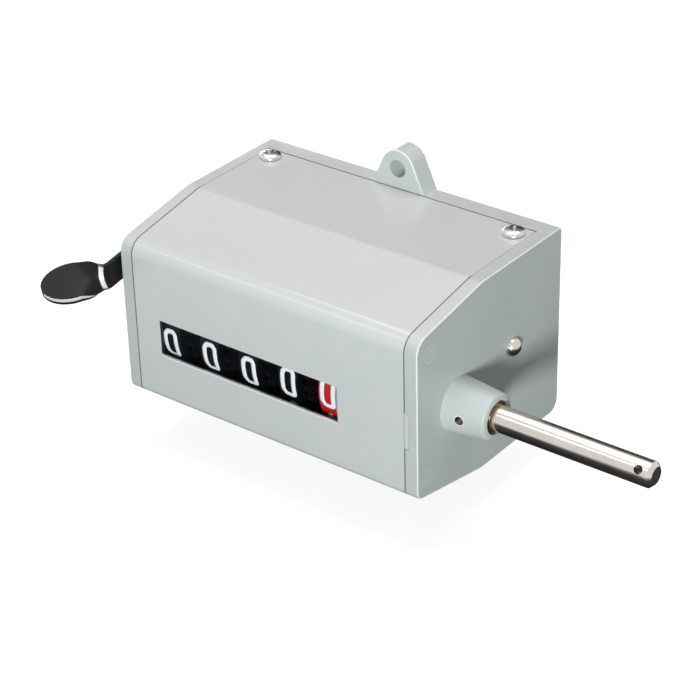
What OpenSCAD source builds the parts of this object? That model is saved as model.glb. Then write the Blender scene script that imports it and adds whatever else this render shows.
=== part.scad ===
// Five digit revolution counter with a thumb lever reset.
// A grey moulded housing carries a drive shaft that sticks out to the right. Inside, the shaft turns
// the units wheel through a ten to one pair of gears, each wheel carries into the next through a
// small pinion, and the lever swings the pinions out of mesh and presses a comb on the heart cams.
// X runs to the right along the shaft, Y to the rear, Z up. The origin is the centre of the rear face.

/* [Body] */
// Width of the housing over the end walls
body_w = 84; // [76:0.5:100]
// Depth from the rear face to the front of the cover
body_d = 56; // [50.5:0.5:64]
// Height of the housing at the rear
body_h = 48; // [47:0.5:60]
// Height of the front face
front_h = 39.2; // [36:0.2:44]
// Distance from the rear face to where the top and bottom begin to slope
slope_start = 31.8; // [26:0.2:36]
// Thickness of the two end walls
end_wall = 3.4; // [2.6:0.1:4]
// Thickness of the rear wall
rear_wall = 5.3; // [4:0.1:7]
// Radius of the front top edge
front_top_r = 4; // [1:0.5:6]
// Radius of the front bottom edge
front_low_r = 2; // [1:0.5:6]
// Radius of the rear bottom edge
rear_low_r = 3; // [1:0.5:5]
// Radius of the rear top edge
rear_top_r = 1; // [0.5:0.5:4]

/* [Mounting lugs] */
// Height of the lug hole above or below the middle of the body
lug_hole_z = 29; // [28:0.5:36]
// Diameter of the lug hole
lug_hole_d = 4.4; // [3:0.1:5.5]
// Radius of the round end of a lug
lug_r = 4.7; // [4:0.1:7]
// Width of a lug where it leaves the body
lug_base_w = 14.5; // [10:0.5:20]

/* [Cover] */
// Thickness of the wrap-round cover
cover_t = 1; // [0.8:0.1:1.4]
// Gap along the seams of the cover
seam = 0.1; // [0.05:0.05:0.3]
// Distance of a cover screw from the outside of its end wall
screw_inset = 6.9; // [6:0.1:9]
// Distance of a cover screw from the rear face
screw_from_rear = 9.3; // [8:0.1:12]
// Diameter of a cover screw
screw_d = 3; // [2:0.5:3.5]
// Diameter of a cover screw's head
screw_head_d = 5.4; // [4.6:0.1:6.4]
// Height of a cover screw's head
screw_head_h = 1.5; // [1:0.1:2]
// Height of the locating tab on the right seam
tab_h = 9; // [5:0.5:12]
// Width of the locating tab
tab_w = 1; // [0.5:0.1:1.6]

/* [Window] */
// Height of the window
window_h = 9.2; // [7:0.2:12]
// Space in the window to the right of the units wheel's middle
window_right = 3.4; // [3:0.1:6]
// Space in the window to the left of the last wheel's middle
window_left = 2.2; // [1:0.1:4]
// Height of the window's middle above the middle of the body
window_z = -2.8; // [-4:0.2:0]
// How far the clear pane lies back in the window
lens_set = 0.1; // [0.05:0.05:0.2]
// Thickness of the clear pane
lens_t = 0.6; // [0.4:0.1:0.7]

/* [Number wheels] */
// Radius of a number wheel
wheel_r = 13.7; // [13:0.1:14]
// Width of a wheel's rim as a share of the step from wheel to wheel
rim_share = 0.485; // [0.45:0.005:0.5]
// Wall of a wheel's rim
rim_t = 1.8; // [1.2:0.1:2.4]
// Distance of the units wheel's middle from the right face
units_inset = 25.1; // [24.8:0.1:26.6]
// Distance of the last wheel's carry disc from the left face
left_room = 8.3; // [7.8:0.1:9]
// Height of the wheel axis above the middle of the body
axis_z = -2; // [-3:0.2:0]
// Space between the wheels and the inside of the cover
wheel_gap = 0.3; // [0.3:0.05:0.5]
// Small radius of the heart cams
heart_low = 4.2; // [4:0.1:4.8]
// Large radius of the heart cams
heart_high = 8; // [7:0.1:8.4]

/* [Drive] */
// Diameter of the drive shaft outside the housing
shaft_d = 6; // [5.6:0.1:6.4]
// Length of the shaft beyond the right face
shaft_out = 50; // [30:1:80]
// Diameter of the shaft in its bearing
journal_d = 5.5; // [5.3:0.1:5.8]
// Diameter of the shaft inside, under the wheels
spindle_d = 5; // [4:0.1:5.2]
// Diameter of the cross hole near the shaft's end
cross_hole_d = 2; // [1:0.1:2.6]
// Distance of the cross hole from the shaft's end
cross_hole_in = 3; // [2.5:0.1:8]
// Turn of the cross hole from upright, in degrees
cross_hole_turn = 53.5; // [0:0.5:90]
// Length of the bearing boss beyond the right face
boss_len = 10.5; // [6:0.5:16]
// Diameter of the bearing boss at the face
boss_d = 13; // [12:0.1:16]
// Diameter of the bearing boss at its end
boss_end_d = 11; // [10:0.1:14]
// Outside diameter of the bearing bushes
bush_d = 8; // [7.4:0.1:9]
// Distance between the drive axis and the counter gear axis
drive_centres = 14; // [13:0.1:14.6]
// Diameter of the counter gear stud
stud_d = 2.5; // [2:0.1:2.8]

/* [Reset] */
// Distance of the reset shaft behind the wheel axis
reset_behind = 21.5; // [20.5:0.1:22.5]
// Height of the reset shaft above the middle of the body
reset_z = 2; // [1:0.2:3]
// Diameter of the reset shaft
reset_d = 4.5; // [4:0.1:5]
// How far the lever is pressed down, in degrees
press = 16; // [14:0.5:16]
// Diameter of the pinion shaft
pinion_shaft_d = 2.8; // [2.2:0.1:3]
// Space between the wheels and the pinion shaft
pinion_shaft_gap = 0.7; // [0.4:0.1:1]
// Thickness of the lever strip
lever_t = 1.2; // [1.2:0.1:2]
// Width of the lever strip
lever_w = 6.2; // [5:0.1:8]
// Width of the thumb pad
pad_w = 11.5; // [10:0.1:14]
// Thickness of the thumb pad
pad_t = 1.8; // [1.4:0.1:2.4]
// Length of the thumb pad from the bend
pad_len = 14.6; // [13:0.2:17]
// Distance of the lever's bend in front of the cover
bend_ahead = 2.4; // [2:0.1:5]
// Height of the lever's bend above the middle of the body
bend_z = 11.2; // [10:0.1:12.5]

/* [Fits] */
// Radial clearance of a turning fit
run_fit = 0.04; // [0.02:0.01:0.1]
// Radial clearance of a tight fit
tight_fit = 0.01; // [0.005:0.005:0.03]
// Side clearance between pieces that pass each other
side_gap = 0.25; // [0.15:0.05:0.35]

/* [Hidden] */
$fn = 64;

// Body faces and the inside of the housing
face_x = body_w / 2;
front_y = -body_d;
top_z = body_h / 2;
inner_x = face_x - end_wall;
cover_half = inner_x - seam;
cover_rear = -rear_wall - seam;
over = 1;

// Wheel axis A, reset axis R, pinion axis P and counter gear axis Q, as [y, z]
A = [front_y + cover_t + wheel_gap + wheel_r, axis_z];
R = [A[0] + reset_behind, reset_z];
transfer_centres = wheel_r + pinion_shaft_gap + pinion_shaft_d / 2;
to_reset = atan2(R[1] - A[1], R[0] - A[0]);
pinion_dir = to_reset - acos(transfer_centres / norm(R - A));
P = A + transfer_centres * [cos(pinion_dir), sin(pinion_dir)];
counter_dir = 60;
Q = A + drive_centres * [cos(counter_dir), sin(counter_dir)];

// Gear teeth: transfer gears between the wheels and the two steps of the drive
pressure = 20;
backlash = 0.1;
wheel_teeth = 20;
pinion_teeth = 8;
drive_teeth = 12;
counter_teeth = 30;
small_teeth = 10;
units_teeth = 40;
transfer_m = 2 * transfer_centres / (wheel_teeth + pinion_teeth);
drive_m = 2 * drive_centres / (drive_teeth + counter_teeth);
units_m = 2 * drive_centres / (small_teeth + units_teeth);
small_add = 1;
wheel_add = 0.55;
counter_add = 0.75;
units_add = 0.6;
root_gap = 0.25;
wheel_root_r = transfer_m * (wheel_teeth / 2 - small_add - root_gap);

// Stations of one wheel along X, counted from the middle of its rim
wheels = 5;
gear_share = 0.16;
wheel_step = (body_w - units_inset - left_room) / (wheels - 1 + rim_share / 2 + gear_share);
rim_w = rim_share * wheel_step;
step_gap = wheel_step - rim_w;
heart_share = 0.115;
blade_share = 0.08;
carry_t = gear_share * wheel_step;
gear_t = gear_share * wheel_step;
heart_t = heart_share * wheel_step;
gear_start = rim_w / 2;
heart_start = gear_start + gear_t;
heart_end = heart_start + heart_t;
carry_start = -rim_w / 2 - carry_t;
hub_play = 0.15;
hub_r = 4;
blade_t = blade_share * wheel_step;
blade_x = heart_start + (step_gap - gear_t - carry_t - blade_t) / 2;
units_x = face_x - units_inset;
function wheel_x(k) = units_x - (k - 1) * wheel_step;
window_x = wheel_x(wheels) - window_left;
window_w = units_x + window_right - window_x;

// Stations of the drive along X, to the right of the units wheel
gear_w = 2;
washer_t = 0.5;
washer_x = units_x + heart_end + 2 * hub_play;
units_gear_x = washer_x + washer_t + hub_play;
arm_t = 1.2;
arm_space = 0.6;
right_arm_x = units_gear_x + gear_w + arm_space;
drive_gear_x = right_arm_x + arm_t + arm_space;
pinion_hub_w = 3.4;
drive_hub_end = drive_gear_x + gear_w + pinion_hub_w;
left_hub_x = wheel_x(wheels) + carry_start - hub_play;
left_arm_x = left_hub_x - hub_play - arm_space - arm_t;
left_skin = 1;
left_end_x = -face_x + left_skin;

// Rounded outline from corner points: each corner is an arc of its own radius
function corner(a, b, c, r, n) =
    let (u = (a - b) / norm(a - b),
         v = (c - b) / norm(c - b),
         half = acos(u * v) / 2,
         m = b + (u + v) / norm(u + v) * r / sin(half),
         s = b + u * r / tan(half) - m,
         e = b + v * r / tan(half) - m,
         a0 = atan2(s[1], s[0]),
         turn = (atan2(e[1], e[0]) - a0 + 900) % 360 - 180)
    [for (i = [0 : n]) m + r * [cos(a0 + turn * i / n), sin(a0 + turn * i / n)]];
function rounded(pts, radii, n = 6) =
    let (k = len(pts))
    [for (i = [0 : k - 1])
        each corner(pts[(i + k - 1) % k], pts[i], pts[(i + 1) % k], radii[i], n)];

// Side outline of the body, drawn in by a margin
slope_r = 8;
least_r = 0.3;
function side_outline(by) =
    let (slope = atan2((body_h - front_h) / 2, body_d - slope_start),
         lift = by * tan(slope / 2),
         front_half = front_h / 2 - by / cos(slope) + by * tan(slope))
    rounded([[-by, top_z - by], [-slope_start - lift, top_z - by], [front_y + by, front_half],
             [front_y + by, -front_half], [-slope_start - lift, -top_z + by], [-by, -top_z + by]],
            [max(rear_top_r - by, least_r), slope_r, max(front_top_r - by, least_r),
             max(front_low_r - by, least_r), slope_r, max(rear_low_r - by, least_r)]);

// Gear outline with involute flanks, tooth 0 on +x, with the picked teeth of z
function inv_deg(a) = tan(a) * 180 / PI - a;
function gear_points(z, m, add, ded, picked) =
    let (rp = m * z / 2,
         rb = rp * cos(pressure),
         ra = rp + add * m,
         rf = rp - ded * m,
         half = 90 / z - backlash / 2 / rp * 180 / PI,
         radii = [rf, max(rb, rf), (max(rb, rf) + rp) / 2, rp, (rp + ra) / 2, ra],
         width = [for (r = radii)
            half + inv_deg(pressure) - inv_deg(acos(min(1, rb / max(r, rb))))])
    [for (i = picked, s = [-1, 1], j = s < 0 ? [0 : 5] : [5 : -1 : 0])
        radii[j] * [cos(i * 360 / z + s * width[j]), sin(i * 360 / z + s * width[j])]];

// A flat shape in the side plane, given depth along X
module along_x(x, w) {
    translate([x, 0, 0]) rotate([90, 0, 90]) linear_extrude(w) children();
}
// A round bar along X at a point of the side plane
module rod(p, x, w, r) {
    translate([x, p[0], p[1]]) rotate([0, 90, 0]) cylinder(r = r, h = w);
}
// A straight flat bar between two points of the side plane, and the same with round ends
module bar(p, q, x, w, width) {
    d = q - p;
    translate([x, p[0], p[1]]) rotate([atan2(d[1], d[0]), 0, 0])
        translate([0, 0, -width / 2]) cube([w, norm(d), width]);
}
module link(p, q, x, w, width) {
    rod(p, x, w, width / 2);
    rod(q, x, w, width / 2);
    bar(p, q, x, w, width);
}
// A gear on an axis of the side plane, turned so that a tooth points along an angle
module gear(p, x, w, z, m, add, ded, angle) {
    translate([0, p[0], p[1]]) along_x(x, w) rotate(angle)
        polygon(gear_points(z, m, add, ded, [0 : z - 1]));
}

// Housing: end walls, rear wall, lugs, bearing boss, screw posts and cover seats in one moulding
seat_w = 2.2;
seat_t = 1.2;
post_w = 6;
post_d = 7.6;
post_h = 9;
bearing_r = 5;
bearing_t = 1.4;
boss_round = 0.8;
round_steps = 4;
left_boss_wall = 2;
left_boss_short = 1;
stud_boss_t = 2;
stud_boss_wall = 2;
oil_hole_d = 2;
oil_hole_out = 4.5;
bush_recess = 0.4;
bush_in = 0.4;
bush_end = face_x + boss_len - bush_recess;
left_bush_end = left_hub_x - hub_play;
screw_x = face_x - screw_inset;
screw_len = 7;
tab_z = window_z;
module end_wall_at(x) {
    along_x(x, end_wall) polygon(side_outline(0));
}
module rear_wall_plate() {
    intersection() {
        along_x(-inner_x - over, 2 * (inner_x + over)) polygon(side_outline(0));
        translate([-face_x, -rear_wall, -body_h]) cube([body_w, rear_wall + over, 2 * body_h]);
    }
}
module cover_seat(x) {
    difference() {
        along_x(x, seat_t) polygon(side_outline(cover_t + seam));
        along_x(x - over, seat_t + 2 * over) polygon(side_outline(cover_t + seam + seat_w));
    }
}
module screw_posts() {
    for (sx = [-1, 1], sz = [-1, 1])
        translate([sx > 0 ? inner_x - post_w : -inner_x, -rear_wall - post_d,
                   sz > 0 ? top_z - cover_t - seam - post_h : -top_z + cover_t + seam])
            cube([post_w, post_d + over, post_h]);
}
module lug(s) {
    flank = acos((lug_base_w / 2 - lug_r) / norm([lug_base_w / 2 - lug_r, lug_hole_z - top_z])) - 90;
    side = [lug_r * cos(flank), lug_hole_z - lug_r * sin(flank)];
    rotate([90, 0, 0]) linear_extrude(rear_wall)
        polygon([[-lug_base_w / 2, s * (top_z - over)], [-lug_base_w / 2, s * top_z],
                 [-side[0], s * side[1]], [side[0], s * side[1]],
                 [lug_base_w / 2, s * top_z], [lug_base_w / 2, s * (top_z - over)]]);
    translate([0, 0, s * lug_hole_z]) rotate([90, 0, 0]) cylinder(r = lug_r, h = rear_wall);
}
module boss() {
    edge = [for (i = [0 : round_steps])
        let (a = 90 * i / round_steps)
        [boss_end_d / 2 - boss_round * (1 - cos(a)), over + boss_len - boss_round * (1 - sin(a))]];
    translate([face_x - over, A[0], A[1]]) rotate([0, 90, 0]) rotate_extrude()
        polygon(concat([[0, 0], [boss_d / 2, 0], [boss_d / 2, over]], edge, [[0, over + boss_len]]));
}
module housing() color([0.74, 0.77, 0.76]) {
    difference() {
        union() {
            end_wall_at(inner_x);
            end_wall_at(-face_x);
            rear_wall_plate();
            for (s = [-1, 1]) lug(s);
            cover_seat(-inner_x);
            cover_seat(inner_x - seat_t);
            screw_posts();
            boss();
            rod(A, -inner_x - over, left_bush_end - left_boss_short + inner_x + over,
                bush_d / 2 + left_boss_wall);
            rod(R, -inner_x - over, bearing_t + over, bearing_r);
            rod(R, inner_x - bearing_t, bearing_t + over, bearing_r);
            rod(Q, inner_x - stud_boss_t, stud_boss_t + over, stud_d / 2 + stud_boss_wall);
        }
        for (s = [-1, 1]) translate([0, over, s * lug_hole_z]) rotate([90, 0, 0])
            cylinder(d = lug_hole_d, h = rear_wall + 2 * over);
        rod(A, inner_x - over, end_wall + boss_len + 2 * over, bush_d / 2 + tight_fit);
        rod(A, left_end_x, inner_x, bush_d / 2 + tight_fit);
        rod(R, -face_x - over, body_w + 2 * over, reset_d / 2 + run_fit);
        rod(Q, inner_x - stud_boss_t - over, stud_boss_t + over + stud_grip, stud_d / 2 + tight_fit);
        rod(stop_at, -inner_x - stop_grip, stop_grip + over, stop_r + tight_fit);
        translate([coil_end_x, -rear_wall + leg_hole_deep, R[1] - coil_r]) rotate([90, 0, 0])
            cylinder(d = wire_d + leg_hole_play, h = leg_hole_deep + over);
        translate([face_x + oil_hole_out, A[0] - boss_d, A[1]]) rotate([-90, 0, 0])
            cylinder(d = oil_hole_d, h = boss_d);
        for (sx = [-1, 1], sz = [-1, 1])
            translate([sx * screw_x, -screw_from_rear, sz > 0 ? top_z - cover_t - screw_len : -top_z])
                cylinder(d = screw_d + 2 * tight_fit, h = screw_len + cover_t);
        translate([inner_x - over, front_y - over, tab_z - tab_h / 2 - seam])
            cube([over + tab_w, cover_t + seam + over, tab_h + 2 * seam]);
    }
}

// Front cover: one bent sheet over top, front and bottom, with the window and a locating tab
module front_cover() color([0.8, 0.82, 0.82]) {
    difference() {
        along_x(-cover_half, 2 * cover_half) polygon(side_outline(0));
        along_x(-face_x, body_w) polygon(side_outline(cover_t));
        translate([-face_x, cover_rear, -body_h]) cube([body_w, rear_wall + over, 2 * body_h]);
        translate([window_x, front_y - over, window_z - window_h / 2])
            cube([window_w, cover_t + 2 * over, window_h]);
        for (sx = [-1, 1]) translate([sx * screw_x, -screw_from_rear, -body_h])
            cylinder(d = screw_d + 2 * seam, h = 2 * body_h);
    }
    translate([cover_half - over, front_y, tab_z - tab_h / 2])
        cube([over + tab_w, cover_t, tab_h]);
}

// Cover screws: two on top and two below, pan heads on the cover
head_rim = 0.6;
head_crown = 1.2;
module cover_screws() color([0.82, 0.83, 0.84]) {
    dome = [for (i = [0 : round_steps])
        let (a = 90 * i / round_steps)
        [screw_head_d / 2 - head_crown * (1 - cos(a)), head_rim + (screw_head_h - head_rim) * sin(a)]];
    for (sx = [-1, 1], sz = [0, 1])
        mirror([0, 0, sz]) translate([sx * screw_x, -screw_from_rear, top_z]) {
            rotate_extrude() polygon(concat([[0, 0], [screw_head_d / 2, 0]], dome, [[0, screw_head_h]]));
            translate([0, 0, -screw_len]) cylinder(d = screw_d, h = screw_len + head_rim);
        }
}

// Window lens: a clear pane cemented into the window, just in front of the wheels
module window_lens() color([0.8, 0.86, 0.9, 0.4])
    translate([window_x, front_y + lens_set, window_z - window_h / 2])
        cube([window_w, lens_t, window_h]);

// Bearing bushes in the right boss and in the left wall
module shaft_bush() color([0.72, 0.56, 0.3]) {
    x0 = inner_x - bush_in;
    difference() {
        rod(A, x0, bush_end - x0, bush_d / 2);
        rod(A, x0 - over, bush_end - x0 + 2 * over, journal_d / 2 + run_fit);
    }
}
module left_bush() color([0.72, 0.56, 0.3]) {
    difference() {
        rod(A, left_end_x, left_bush_end - left_end_x, bush_d / 2);
        rod(A, left_end_x - over, face_x, spindle_d / 2 + run_fit);
    }
}

// Drive shaft: stepped and chamfered, with a groove for the ring and a cross hole at its end
shaft_chamfer = 0.9;
spindle_gap = 0.4;
shoulder_gap = 0.15;
ring_t = 0.8;
ring_gap = 0.1;
ring_slack = 0.05;
ring_over = 0.8;
ring_x = inner_x - bush_in - ring_t - ring_gap;
groove_deep = 0.4;
groove_r = journal_d / 2 - groove_deep;
pin_d = 1.2;
module drive_shaft() color([0.8, 0.81, 0.82]) {
    start_x = left_end_x + spindle_gap;
    shoulder_x = bush_end + shoulder_gap;
    end_x = face_x + shaft_out;
    r = shaft_d / 2;
    jr = journal_d / 2;
    difference() {
        translate([0, A[0], A[1]]) rotate([90, 0, 90]) rotate_extrude()
            polygon([[0, start_x], [spindle_d / 2, start_x], [spindle_d / 2, drive_hub_end],
                     [jr, drive_hub_end], [jr, ring_x], [groove_r, ring_x],
                     [groove_r, ring_x + ring_t], [jr, ring_x + ring_t], [jr, shoulder_x],
                     [r, shoulder_x], [r, end_x - shaft_chamfer], [r - shaft_chamfer, end_x],
                     [0, end_x]]);
        translate([end_x - cross_hole_in, A[0], A[1]]) rotate([cross_hole_turn, 0, 0])
            cylinder(d = cross_hole_d, h = 2 * shaft_d, center = true);
        drive_pin_rod(tight_fit);
    }
}
drive_root_r = drive_m * (drive_teeth / 2 - counter_add - root_gap);
module drive_pin_rod(grow) {
    half = drive_root_r + grow;
    translate([drive_hub_end - pinion_hub_w / 2, A[0], A[1] - half])
        cylinder(d = pin_d + 2 * grow, h = 2 * half);
}
module drive_pin() color([0.55, 0.56, 0.58]) {
    drive_pin_rod(0);
}
module drive_pinion() color([0.78, 0.66, 0.36]) {
    difference() {
        union() {
            gear(A, drive_gear_x, gear_w, drive_teeth, drive_m, small_add, counter_add + root_gap,
                 counter_dir);
            rod(A, drive_gear_x, drive_hub_end - drive_gear_x, drive_root_r);
        }
        rod(A, drive_gear_x - over, drive_hub_end, spindle_d / 2 + tight_fit);
        drive_pin_rod(tight_fit);
    }
}
module retaining_ring() color([0.4, 0.41, 0.43]) {
    ring_r = bush_d / 2 + ring_over;
    mouth = groove_r * sqrt(2);
    difference() {
        rod(A, ring_x + ring_slack, ring_t - 2 * ring_slack, ring_r);
        rod(A, ring_x - over, ring_t + 2 * over, groove_r + run_fit);
        translate([ring_x - over, A[0] - ring_r - over, A[1] - mouth / 2])
            cube([ring_t + 2 * over, ring_r + over, mouth]);
    }
}

// Counter gear: large and small gear in one piece on a stud in the right wall
stud_head_t = 0.35;
stud_head_gap = 0.05;
stud_head_over = 0.7;
stud_collar_gap = 0.3;
stud_collar_over = 1;
stud_grip = 2;
module counter_stud() color([0.7, 0.71, 0.72]) {
    head_x = units_gear_x - stud_head_gap - stud_head_t;
    collar_x = drive_gear_x + gear_w + stud_collar_gap;
    rod(Q, head_x, inner_x + stud_grip - head_x, stud_d / 2);
    rod(Q, collar_x, inner_x - stud_boss_t - collar_x, stud_d / 2 + stud_collar_over);
    rod(Q, head_x, stud_head_t, stud_d / 2 + stud_head_over);
}
module counter_gear() color([0.86, 0.85, 0.8]) {
    half_large = 180 / counter_teeth;
    half_small = 180 / small_teeth;
    difference() {
        union() {
            gear(Q, drive_gear_x, gear_w, counter_teeth, drive_m, counter_add, small_add + root_gap,
                 counter_dir + 180 + half_large);
            gear(Q, units_gear_x, drive_gear_x - units_gear_x + gear_w / 2, small_teeth, units_m,
                 small_add, units_add + root_gap, counter_dir + 180 + half_small);
        }
        rod(Q, units_gear_x - over, face_x, stud_d / 2 + run_fit);
    }
}
module units_gear() color([0.86, 0.85, 0.8]) {
    difference() {
        union() {
            gear(A, units_gear_x, gear_w, units_teeth, units_m, units_add, small_add + root_gap,
                 counter_dir);
            rod(A, units_gear_x, drive_gear_x - hub_play - units_gear_x, hub_r);
        }
        rod(A, units_gear_x - over, face_x, spindle_d / 2 + run_fit);
    }
}
module clutch_washer() color([0.6, 0.61, 0.62]) {
    difference() {
        rod(A, washer_x, washer_t, hub_r);
        rod(A, washer_x - over, washer_t + 2 * over, spindle_d / 2 + run_fit);
    }
}

// Number wheel: rim and web on a hub, carry disc with two teeth on the left,
// gear and heart cam on the right
carry_past = 33;
web_t = 1.8;
lap = 0.2;
module carry_disc(x) {
    teeth_dir = pinion_dir - carry_past - 180 / wheel_teeth;
    rod(A, x, carry_t + lap, wheel_root_r);
    translate([0, A[0], A[1]]) along_x(x, carry_t + lap) rotate(teeth_dir)
        polygon(gear_points(wheel_teeth, transfer_m, wheel_add, small_add + 2 * root_gap, [0, 1]));
}
module heart(x) {
    n = 16;
    translate([0, A[0], A[1]]) along_x(x - lap, heart_t + lap)
        polygon([for (i = [1 - n : n])
            (heart_low + (heart_high - heart_low) * abs(i) / n)
                * [cos(90 + i * 180 / n), sin(90 + i * 180 / n)]]);
}
module number_wheel(k) {
    x = wheel_x(k);
    hub_end = k == 1 ? heart_end : wheel_step + carry_start - 2 * hub_play;
    difference() {
        union() {
            difference() {
                rod(A, x - rim_w / 2, rim_w, wheel_r);
                rod(A, x - rim_w / 2 - over, rim_w + 2 * over, wheel_r - rim_t);
            }
            rod(A, x - web_t / 2, web_t, wheel_r - rim_t / 2);
            carry_disc(x + carry_start);
            if (k == 1) rod(A, x + gear_start, gear_t, wheel_root_r);
            else gear(A, x + gear_start - lap, gear_t + lap, wheel_teeth, transfer_m, wheel_add,
                      small_add + root_gap, pinion_dir + 180 / wheel_teeth);
            heart(x + heart_start);
            rod(A, x + carry_start - hub_play, hub_end - carry_start + hub_play, hub_r);
        }
        rod(A, x - wheel_step, 2 * wheel_step, spindle_d / 2 + run_fit);
    }
}
module black_wheel(k) color([0.06, 0.06, 0.07]) number_wheel(k);
module number_wheel_1() color([0.78, 0.1, 0.12]) number_wheel(1);
module number_wheel_2() black_wheel(2);
module number_wheel_3() black_wheel(3);
module number_wheel_4() black_wheel(4);
module number_wheel_5() black_wheel(5);

// Transfer pinion: eight teeth against the wheel on its left,
// of which every second one runs on to the wheel on its right
module pinion_teeth_along(x, w, first) {
    translate([0, P[0], P[1]]) along_x(x, w) rotate(pinion_dir + 180)
        polygon(gear_points(pinion_teeth, transfer_m, small_add, wheel_add + 2 * root_gap,
                            [first : 2 : pinion_teeth - 1]));
}
module transfer_pinion(k) color([0.85, 0.84, 0.78]) {
    x0 = wheel_x(k + 1) + rim_w / 2 + side_gap;
    width = step_gap - 2 * side_gap;
    root_r = transfer_m * (pinion_teeth / 2 - wheel_add - root_gap);
    difference() {
        union() {
            rod(P, x0, width, root_r);
            pinion_teeth_along(x0, gear_t + side_gap, 0);
            pinion_teeth_along(x0, width, 1);
        }
        rod(P, x0 - over, width + 2 * over, pinion_shaft_d / 2 + run_fit);
    }
}
module transfer_pinion_1() transfer_pinion(1);
module transfer_pinion_2() transfer_pinion(2);
module transfer_pinion_3() transfer_pinion(3);
module transfer_pinion_4() transfer_pinion(4);

// Rocker: two arms on the reset shaft hold the pinion shaft below and the comb above
clip_t = 0.6;
clip_gap = 0.1;
clip_slack = 0.05;
clip_over = 1;
clip_x = [left_arm_x - clip_t - clip_gap, right_arm_x + arm_t + clip_gap];
clip_deep = 0.3;
clip_groove_r = pinion_shaft_d / 2 - clip_deep;
shaft_end = 1.2;
arm_w = 6.4;
arm_neck_w = 5.4;
comb_w = 4;
comb_ahead = 1.5;
comb_up = 6;
comb_at = R + [-comb_ahead, comb_up];
module pinion_shaft() color([0.75, 0.76, 0.77]) {
    x0 = left_arm_x - shaft_end;
    difference() {
        rod(P, x0, right_arm_x + arm_t + shaft_end - x0, pinion_shaft_d / 2);
        for (x = clip_x) difference() {
            rod(P, x, clip_t, pinion_shaft_d);
            rod(P, x - over, clip_t + 2 * over, clip_groove_r);
        }
    }
}
module pinion_clips() color([0.4, 0.41, 0.43]) {
    mouth = clip_groove_r * sqrt(2);
    for (x = clip_x) difference() {
        rod(P, x + clip_slack, clip_t - 2 * clip_slack, pinion_shaft_d / 2 + clip_over);
        rod(P, x - over, clip_t + 2 * over, clip_groove_r + run_fit);
        translate([x - over, P[0], P[1] - mouth / 2])
            cube([clip_t + 2 * over, pinion_shaft_d * 2, mouth]);
    }
}
module rocker_arm(x) color([0.7, 0.71, 0.7]) {
    difference() {
        union() {
            for (p = [P, R, comb_at]) rod(p, x, arm_t, arm_w / 2);
            bar(P, R, x, arm_t, arm_neck_w);
            bar(R, comb_at, x, arm_t, arm_neck_w);
        }
        rod(R, x - over, arm_t + 2 * over, reset_d / 2 + tight_fit);
        rod(P, x - over, arm_t + 2 * over, pinion_shaft_d / 2 + tight_fit);
    }
}
module rocker_arm_left() rocker_arm(left_arm_x);
module rocker_arm_right() rocker_arm(right_arm_x);

// Reset comb: a bar between the arms with one finger for each heart cam. The finger is drawn in its
// pressed place, just short of the low point of the cam, and turned back to the rest place.
finger_w = 2.4;
finger_short = 0.9;
module reset_comb() color([0.62, 0.63, 0.64]) {
    tip = A + [0, heart_low + finger_short + finger_w / 2];
    root = R + [[cos(press), -sin(press)] * (comb_at - R), [sin(press), cos(press)] * (comb_at - R)];
    rod(comb_at, left_arm_x + arm_t, right_arm_x - left_arm_x - arm_t, comb_w / 2);
    for (k = [1 : wheels])
        translate([0, R[0], R[1]]) rotate([-press, 0, 0]) translate([0, -R[0], -R[1]])
            link(root, tip, wheel_x(k) + blade_x, blade_t, finger_w);
}

// Reset shaft: through both end walls, domed on the right, with the lever and nut on the left
dome_h = 1.6;
washer_gap = 0.9;
lever_x = -face_x - washer_gap - lever_t;
nut_h = 2.4;
nut_w = 7;
dome_out = 0.4;
dome_start = face_x + dome_out;
dome_steps = 5;
collar_over = 1.6;
collar_r = reset_d / 2 + collar_over;
collar_gap = 0.3;
thread_show = 0.6;
module reset_shaft() color([0.8, 0.81, 0.82]) {
    r = reset_d / 2;
    x0 = lever_x - nut_h - thread_show;
    collar_x = lever_x + lever_t;
    ball_r = (r * r + dome_h * dome_h) / 2 / dome_h;
    rise = asin(r / ball_r);
    dome = [for (i = [1 : dome_steps])
        let (a = rise * (1 - i / dome_steps))
        [ball_r * sin(a), dome_start + dome_h - ball_r + ball_r * cos(a)]];
    translate([0, R[0], R[1]]) rotate([90, 0, 90]) rotate_extrude()
        polygon(concat([[0, x0], [r, x0], [r, collar_x], [collar_r, collar_x],
                        [collar_r, -face_x - collar_gap], [r, -face_x - collar_gap],
                        [r, dome_start]], dome));
}
module lever_nut() color([0.75, 0.76, 0.77]) {
    difference() {
        translate([lever_x - nut_h, R[0], R[1]]) rotate([0, 90, 0])
            cylinder(d = nut_w / cos(30), h = nut_h, $fn = 6);
        rod(R, lever_x - nut_h - over, nut_h + 2 * over, reset_d / 2 + tight_fit);
    }
}

// Reset lever: a cranked strip outside the left wall, bent outwards and twisted into a thumb pad. It is
// one loft of rectangles from the hub round the knee and the bend to the round tip of the pad.
arm_slope = 10.2;
knee_back = 11;
knee_r = 5;
knee_steps = 6;
hub_w = 11;
arm_end = [front_y - bend_ahead, bend_z];
knee = [front_y + knee_back, bend_z + (bend_ahead + knee_back) * tan(arm_slope)];
strip_x = lever_x + lever_t / 2;
strip_in = 0.65;
strip_face_in = 0.06;
strip_t = lever_t - 2 * strip_face_in;
rear_dir = atan2(knee[1] - R[1], knee[0] - R[0]);
fore_dir = 180 + arm_slope;
knee_line = corner(R, knee, arm_end, knee_r, knee_steps);
bend_out = 45;
bend_r = 2.2;
bend_steps = 5;
bend_w = lever_w / cos(arm_slope);
pad_lean = 72;
lean_len = 6;
pad_steps = 8;
tip_turn = 86;
function mix(a, b, s) = a * (1 - s) + b * s;
function in_side(a) = [0, cos(a), sin(a)];
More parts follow.
